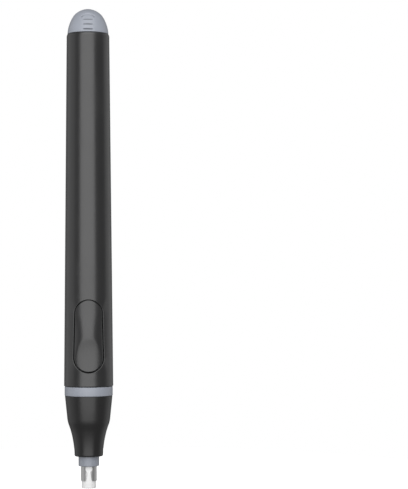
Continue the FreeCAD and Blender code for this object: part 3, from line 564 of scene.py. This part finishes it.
def window_width(height):
    """Half the gap between the two gutters at a height."""
    jaw = JAW_GAP - JAW_CLOSES * blend_between(height, holder_bottom, JAW_TOP)
    window = jaw + WINDOW_OPENS * blend_between(height, JAW_TOP, JAW_END)
    neck = window + NECK_OPENS * blend_between(height, NECK_BOTTOM, NECK_TOP)
    corner = max(0.0, JAW_CORNER - (height - holder_bottom))
    return neck + JAW_CORNER - math.sqrt(JAW_CORNER ** 2 - corner * corner)


print("half gap at the jaws", round(window_width(JAW_TOP), 3), "and at the window",
      round(window_width(NECK_BOTTOM), 3))

# %% [markdown]
# Solidify gives each leg its sheet's thickness, here on the inner side. Every vertex is then
# held between the sheet's two radii, and the radii are printed, because a sheet that grew
# outwards would come out too thin. A thin disc at the top joins the legs.

# %% Refill holder
SHEET, DISC_ROOM = 0.26, 0.02
ACROSS, UP = 28, 120


def gutter(mesh, side):
    """The outer face of one leg of the holder; side is 1 for +X and -1 for -X."""
    grid = bmesh.ops.create_grid(mesh, x_segments=ACROSS, y_segments=UP, size=1.0)["verts"]
    for vert in grid:
        height = holder_bottom + (holder_top - holder_bottom) * (vert.co.y + 1) / 2
        half_angle = math.acos(window_width(height) / holder_radius)
        angle = vert.co.x * half_angle
        forward = holder_radius * math.sin(angle)
        vert.co = Vector((side * holder_radius * math.cos(angle), forward, height)) * MM
    faces = list({face for vert in grid for face in vert.link_faces})
    bmesh.ops.recalc_face_normals(mesh, faces=faces)
    return faces


holder = bmesh.new()
for side in (1, -1):
    earlier = set(holder.verts)
    bmesh.ops.solidify(holder, geom=gutter(holder, side), thickness=SHEET * MM)
    leg = [vert for vert in holder.verts if vert not in earlier]
    for vert in leg:
        out = min(holder_radius, max(holder_radius - SHEET, vert.co.xy.length / MM))
        vert.co.xy = vert.co.xy.normalized() * out * MM
    radii = [vert.co.xy.length / MM for vert in leg]
    print("leg", side, "from radius", round(min(radii), 3), "to", round(max(radii), 3), "mm")
join(holder, lathe([
    (0.0, holder_top - SHEET),
    (holder_radius - SHEET, holder_top - SHEET),
    (holder_radius - DISC_ROOM, holder_top - SHEET / 2, 0.06),
    (holder_radius - SHEET, holder_top),
    (0.0, holder_top),
], closed=False, steps=96))
finished("sprung_holder", holder, "refill_holder", "refill_holder", "spring_steel")

# %% [markdown]
# The tail cap is a thin dome with a spigot that plugs the barrel. Its outside is two arcs, one
# for the side and a tighter one for the crown. It is turned like the other round pieces, but
# with a finer mesh, because marks are pressed into it next.

# %% Outside of the cap
CAP_SEAT = barrel_top + JOIN_GAP
SPIGOT_OUTSIDE, CAP_BORE = 6.25, 5.6
SIDE_RADIUS, SIDE_RISE, SIDE_ROUND = 7.06, 3.75, 3.45
CROWN_RADIUS, CROWN_ROUND = 3.10, 2.9
CAP_STEPS = 320

cap = lathe([
    (CAP_BORE, cap_bottom),
    (SPIGOT_OUTSIDE, cap_bottom, 0.2),
    (SPIGOT_OUTSIDE, CAP_SEAT),
    (cap_radius, CAP_SEAT, 0.15),
    (SIDE_RADIUS, CAP_SEAT + SIDE_RISE, SIDE_ROUND),
    (CROWN_RADIUS, cap_top, CROWN_ROUND),
    (0.0, cap_top),
], closed=False, steps=CAP_STEPS, grain=0.13)
print("cap outside", len(cap.faces), "faces")

# %% [markdown]
# Three short marks and an arch above them are pressed into the cap's front, as a sign of where
# to pull. A mark is described by its centre line. How far a point is from the nearest line says
# how deep it is pressed, and a painted shade says how dark the hollow is coloured there. The
# painted shade is darkest in the middle of each mark, and at the ends of the arch.

# %% Where the marks are
MARK_LENGTH, MARK_WIDTH, MARK_DEPTH = 1.55, 0.30, 0.34
MARK_DROPS = (7.95, 6.13, 4.37)
MARKS = [cap_top - drop for drop in MARK_DROPS]
ARCH_RADIUS, ARCH_TOP, ARCH_REACH = 2.75, cap_top - 2.35, 2.15
MARK_FADE, ARCH_LEAST = 0.6, 0.2


def mark_at(x, z):
    """How far a point of the front is from the nearest centre line, and how dark its painted shade is
    there.
    """
    nearest = min(math.hypot(max(0.0, abs(x) - MARK_LENGTH), z - height) for height in MARKS)
    sideways = min(abs(x), ARCH_REACH)
    curve = ARCH_TOP - ARCH_RADIUS + math.sqrt(ARCH_RADIUS ** 2 - sideways ** 2)
    arch = math.hypot(abs(x) - sideways, z - curve)
    if nearest < arch:
        return nearest, 1.0 - MARK_FADE * (abs(x) / (MARK_LENGTH + MARK_WIDTH)) ** 2
    return arch, ARCH_LEAST + (sideways / ARCH_REACH) ** 4


print("marks at", [round(height, 2) for height in MARKS], "arch top at", round(ARCH_TOP, 2))

# %% [markdown]
# The marks are real dents. Each vertex of the front is pushed in, towards the axis and down, by
# as much as its distance to the nearest line allows. The same number, times the shade, is kept
# as its painted shade. Then the hollow inside is turned and merged to the outside at the spigot's end.

# %% Tail cap
MARK_FLOOR, FRONT_HALF, ABOVE_SEAT, PRESS_DOWN = 0.08, 3.2, 0.3, 1.2
HOLLOW_SIDE, HOLLOW_RADIUS, HOLLOW_TOP = 1.85, 3.4, 5.55

# Painted shade: a number at each vertex that darkens the colour inside the dents.
painted_shade = cap.verts.layers.float.new("painted_shade")
for vert in cap.verts:
    x, y, z = (part / MM for part in vert.co)
    if y < 0 and z > CAP_SEAT + ABOVE_SEAT and abs(x) < FRONT_HALF:
        away, shade = mark_at(x, z)
        pressed = 1 - blend_between(away, MARK_FLOOR, MARK_WIDTH)
        outwards = Vector((x, y, PRESS_DOWN * (z - CAP_SEAT))).normalized()
        vert[painted_shade] = pressed * shade
        vert.co -= outwards * pressed * MARK_DEPTH * MM

join(cap, lathe([
    (CAP_BORE, cap_bottom),
    (CAP_BORE, CAP_SEAT + HOLLOW_SIDE, 0.4),
    (HOLLOW_RADIUS, CAP_SEAT + HOLLOW_TOP, 0.8),
    (0.0, CAP_SEAT + HOLLOW_TOP),
], closed=False, steps=CAP_STEPS))
bmesh.ops.remove_doubles(cap, verts=cap.verts, dist=SAME_PLACE * MM)
finished("domed_cap", cap, "tail_cap", "tail_cap", "pale_grey_plastic", sharp=50.0)

# %% [markdown]
# The button is a long lozenge with two round ends, the lower a little wider than the upper. Its
# outline is a formula: two circles and the straight sides between them. Two questions are asked
# of it: how wide it is at a height, and how far inside it a point lies.

# %% The button's outline
button_low, button_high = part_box("button")
button_bottom, button_top = button_low[2] / MM, button_high[2] / MM
NARROWS_BY = 0.37
LOW_RADIUS = button_high[0] / MM
HIGH_RADIUS = LOW_RADIUS - NARROWS_BY
LOW_MIDDLE = button_bottom + LOW_RADIUS
HIGH_MIDDLE = button_top - HIGH_RADIUS


def half_width(z):
    """Half the button's width at a height."""
    if z < LOW_MIDDLE:
        return math.sqrt(max(0.0, LOW_RADIUS ** 2 - (z - LOW_MIDDLE) ** 2))
    if z > HIGH_MIDDLE:
        return math.sqrt(max(0.0, HIGH_RADIUS ** 2 - (z - HIGH_MIDDLE) ** 2))
    part = (z - LOW_MIDDLE) / (HIGH_MIDDLE - LOW_MIDDLE)
    return LOW_RADIUS + (HIGH_RADIUS - LOW_RADIUS) * part


def rim_distance(x, z):
    """How far a point is inside the outline."""
    if z < LOW_MIDDLE:
        return LOW_RADIUS - math.hypot(x, z - LOW_MIDDLE)
    if z > HIGH_MIDDLE:
        return HIGH_RADIUS - math.hypot(x, z - HIGH_MIDDLE)
    return half_width(z) - abs(x)


print("button from", round(button_bottom, 2), "to", round(button_top, 2), "mm")

# %% [markdown]
# The face continues the barrel's curve at the top and swells into a thumb pad below, with a
# dish in it. How far forward it is can be written as the barrel's radius, plus the pad's swell,
# less whatever stands above the dish's floor. A square root softens the dish's edge, so that
# the pad rolls into it without a crease. The edge of the face is rounded last.

# %% The button's face
FACE_SUNK = 0.03
BARREL_TOP_RADIUS, BARREL_LIP = 7.48, 1.2
BARREL_TAPER = (barrel_radius - BARREL_TOP_RADIUS) / (barrel_top - BARREL_LIP - barrel_bottom)
PAD_SWELL, PAD_END, PAD_FADE, CROWN = 0.68, 52.8, 9.0, 4.4
SCOOP_FLOOR, SCOOP_MIDDLE, SCOOP_RISE, SCOOP_DOME = 8.20, 44.6, 0.0150, 0.046
SCOOP_SOFTNESS = 0.02
RIM_ROUND = 0.3


def button_face(x, z):
    """How far forward the button's face is."""
    flush = barrel_radius - BARREL_TAPER * (z - barrel_bottom) - FACE_SUNK
    inside = rim_distance(x, z)
    crown = min(1.0, max(0.0, inside / CROWN))
    fade = 1 - blend_between(z, PAD_END, PAD_END + PAD_FADE)
    pad = math.sqrt((flush + PAD_SWELL * crown * (2 - crown) * fade) ** 2 - x * x)
    over = pad - SCOOP_FLOOR - SCOOP_RISE * (z - SCOOP_MIDDLE) ** 2 + SCOOP_DOME * x * x
    front = pad - 0.5 * (over + math.sqrt(over * over + SCOOP_SOFTNESS))
    edge = max(0.0, RIM_ROUND - max(0.0, inside))
    return front - (RIM_ROUND - math.sqrt(RIM_ROUND ** 2 - edge ** 2))


print("dish floor", round(button_face(0.0, SCOOP_MIDDLE), 2), "pad", round(button_face(0.0, PAD_END), 2))

# %% [markdown]
# A grid is drawn into the outline and onto the face. A sine crowds its rows together towards
# the rim, where the edge is rounded. The rim is then extruded straight back to give the button
# its depth, and the loop at the back is filled.

# %% The button's body
BUTTON_BACK = 6.3
FACE_ACROSS, FACE_UP = 72, 220
RIM_MERGE = 0.003

button = bmesh.new()
bmesh.ops.create_grid(button, x_segments=FACE_ACROSS, y_segments=FACE_UP, size=1.0)
middle_height, half_height = (button_bottom + button_top) / 2, (button_top - button_bottom) / 2
for vert in button.verts:
    z = middle_height + half_height * math.sin(vert.co.y * math.pi / 2)
    x = half_width(z) * math.sin(vert.co.x * math.pi / 2)
    vert.co = Vector((x, -button_face(x, z), z)) * MM
bmesh.ops.remove_doubles(button, verts=button.verts, dist=RIM_MERGE * MM)
rim = [edge for edge in button.edges if edge.is_boundary]
walls = bmesh.ops.extrude_edge_only(button, edges=rim)["geom"]
back_rim = [item for item in walls if isinstance(item, bmesh.types.BMEdge) and item.is_boundary]
for vert in (item for item in walls if isinstance(item, bmesh.types.BMVert)):
    vert.co.y = -BUTTON_BACK * MM
bmesh.ops.edgeloop_fill(button, edges=back_rim)
print("button body", len(button.faces), "faces")

# %% [markdown]
# The button hangs on a steel pin by two lugs. Each is a plate with a hole for the pin, round at
# its free end and square where it runs into the button. A washer is turned first, and its outer
# edge is then pulled out to that outline, direction by direction. Bridging four loops looks
# simpler, but two loops that lie in one plane can come out crossed.

# %% Lugs for the pivot pin
pivot_low, pivot_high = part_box("pivot_pin")
pivot_height = (pivot_low[2] + pivot_high[2]) / 2 / MM
pivot_front = -(pivot_low[1] + pivot_high[1]) / 2 / MM
LUG_INSIDE, LUG_OUTSIDE, LUG_RADIUS, PIN_HOLE = 2.6, 3.9, 1.4, 0.8
ROOTED = 0.3
LUG_ROOT = BUTTON_BACK + ROOTED - pivot_front
LUG_STEPS = 64
HALF_STEP = Matrix.Rotation(math.pi / LUG_STEPS, 3, "Z")
ALMOST_ZERO = 0.001


def lug_rim(back, up):
    """How far the lug's outside is in a direction: a half circle behind, a square end in front."""
    if back > 0:
        return LUG_RADIUS
    return min(LUG_RADIUS / max(abs(up), ALMOST_ZERO), LUG_ROOT / max(-back, ALMOST_ZERO))


def lug(side):
    """One lug; side is 1 for +X and -1 for -X."""
    plate = lathe([
        (PIN_HOLE, LUG_INSIDE),
        (LUG_RADIUS, LUG_INSIDE),
        (LUG_RADIUS, LUG_OUTSIDE),
        (PIN_HOLE, LUG_OUTSIDE),
    ], steps=LUG_STEPS)
    bmesh.ops.rotate(plate, verts=plate.verts, cent=(0, 0, 0), matrix=HALF_STEP)
    for vert in plate.verts:
        height = vert.co.z / MM
        on_hole = vert.co.xy.length / MM < (PIN_HOLE + LUG_RADIUS) / 2
        back, up = vert.co.xy.normalized()
        away = PIN_HOLE if on_hole else lug_rim(back, up)
        vert.co = Vector((side * height, away * back - pivot_front, away * up + pivot_height)) * MM
    return plate


for side in (-1, 1):
    join(button, lug(side))
print("pin at", round(pivot_height, 2), "mm up and", round(pivot_front, 2), "mm forward")

# %% [markdown]
# A small post on the button's back presses the switch's plunger. It ends a hair short of the
# plunger, so that the switch is not held down at rest. Its edges are slightly broken.

# %% Post for the switch, and the finished button
plunger_low, plunger_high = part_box("switch_plunger")
plunger_height = (plunger_low[2] + plunger_high[2]) / 2 / MM
POST_HALF_WIDTH, POST_HALF_HEIGHT, POST_SHORT, BROKEN_EDGE = 1.0, 0.8, 0.05, 0.12


def block(mesh, low, high):
    """A box with slightly broken edges, from its low corner to its high corner."""
    size = Vector(high) - Vector(low)
    made = bmesh.ops.create_cube(mesh, size=1.0)["verts"]
    bmesh.ops.scale(mesh, verts=made, vec=size * MM)
    bmesh.ops.translate(mesh, verts=made, vec=(Vector(low) + size / 2) * MM)
    edges = {edge for vert in made for edge in vert.link_edges}
    bmesh.ops.bevel(mesh, geom=list(edges), offset=BROKEN_EDGE * MM, offset_type="OFFSET",
                    segments=2, profile=0.5, affect="EDGES", material=-1)


block(button, (-POST_HALF_WIDTH, -BUTTON_BACK - ROOTED, plunger_height - POST_HALF_HEIGHT),
      (POST_HALF_WIDTH, plunger_low[1] / MM - POST_SHORT, plunger_height + POST_HALF_HEIGHT))
finished("thumb_button", button, "button", "button", "black_satin_plastic")

# %% [markdown]
# The tool stands on a small round table of matt white board. The board glows, which makes it
# as white as the room behind it, and it still takes a soft shadow under the tip. It is hidden
# from mirror images and from bounced light, so the nose mirrors the softbox and not the table.

# %% Table
TABLE_RADIUS, TABLE_DROP = 150.0, 0.02
BOARD_WHITE, BOARD_GLOW = 0.80, 0.75

table_mesh = bmesh.new()
bmesh.ops.create_circle(table_mesh, cap_ends=True, segments=128, radius=TABLE_RADIUS * MM)
bmesh.ops.translate(table_mesh, verts=table_mesh.verts, vec=(0.0, 0.0, -TABLE_DROP * MM))
table_data = bpy.data.meshes.new("table")
table_mesh.to_mesh(table_data)
table_mesh.free()
table = bpy.data.objects.new("table", table_data)
bpy.context.scene.collection.objects.link(table)
board = bpy.data.materials.new("table_board")
board.use_nodes = True
board_shader = board.node_tree.nodes["Principled BSDF"]
board_shader.inputs["Base Color"].default_value = (BOARD_WHITE, BOARD_WHITE, BOARD_WHITE, 1.0)
board_shader.inputs["Roughness"].default_value = 1.0
board_shader.inputs["Specular IOR Level"].default_value = 0.0
board_shader.inputs["Emission Color"].default_value = WHITE
board_shader.inputs["Emission Strength"].default_value = BOARD_GLOW
table_data.materials.append(board)
table.visible_glossy = False
table.visible_diffuse = False
print("table", 2 * TABLE_RADIUS, "mm across")
